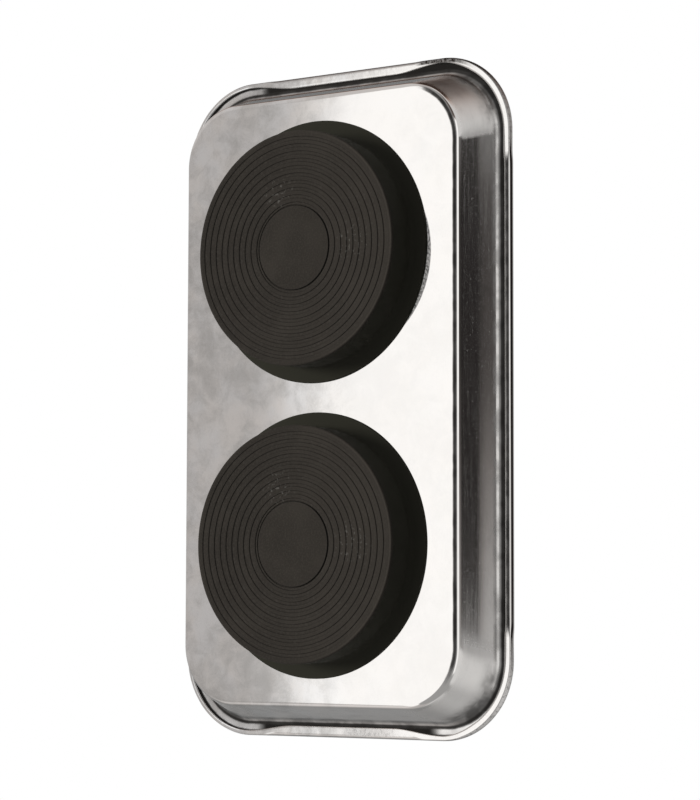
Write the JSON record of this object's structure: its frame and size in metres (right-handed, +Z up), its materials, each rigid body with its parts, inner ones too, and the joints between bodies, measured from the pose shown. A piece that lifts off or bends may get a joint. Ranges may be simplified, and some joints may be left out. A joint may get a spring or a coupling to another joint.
{
  "type": "magnetic parts tray",
  "caption": "Rectangular pressed steel parts tray with rounded corners and a rolled rim, held to steel surfaces by round, grooved, rubber-covered magnet bases under its floor.",
  "frame": {"origin": "midway between the two magnet bases, on the surface that their rubber faces stand on", "axes": "+Z up, out of the open dish; +X along the tray's length; +Y along its width"},
  "size_m": [0.24, 0.14, 0.034],
  "materials": {
    "stainless_sheet": "polished",
    "black_rubber": "matte",
    "zinc_steel": "satin",
    "plated_steel": "polished",
    "ferrite": "matte"
  },
  "bodies": {
    "tray": {"tray_pan": "stainless_sheet", "left_clamp_screw": "plated_steel", "right_clamp_screw": "plated_steel", "left_flat_washer": "zinc_steel", "right_flat_washer": "zinc_steel", "left_lock_washer": "zinc_steel", "right_lock_washer": "zinc_steel", "left_hex_nut": "zinc_steel", "right_hex_nut": "zinc_steel"},
    "left_base": {"left_rubber_cover": "black_rubber", "left_backing_plate": "zinc_steel", "left_ring_magnet": "ferrite"},
    "right_base": {"right_rubber_cover": "black_rubber", "right_backing_plate": "zinc_steel", "right_ring_magnet": "ferrite"}
  },
  "joints": [
    {"name": "left_base_swivel", "type": "hinge", "parent": "tray", "child": "left_base", "pos_m": [-0.052, 0, 0], "axis": [0, 0, 1], "continuous": true},
    {"name": "right_base_swivel", "type": "hinge", "parent": "tray", "child": "right_base", "pos_m": [0.052, 0, 0], "axis": [0, 0, 1], "continuous": true}
  ]
}
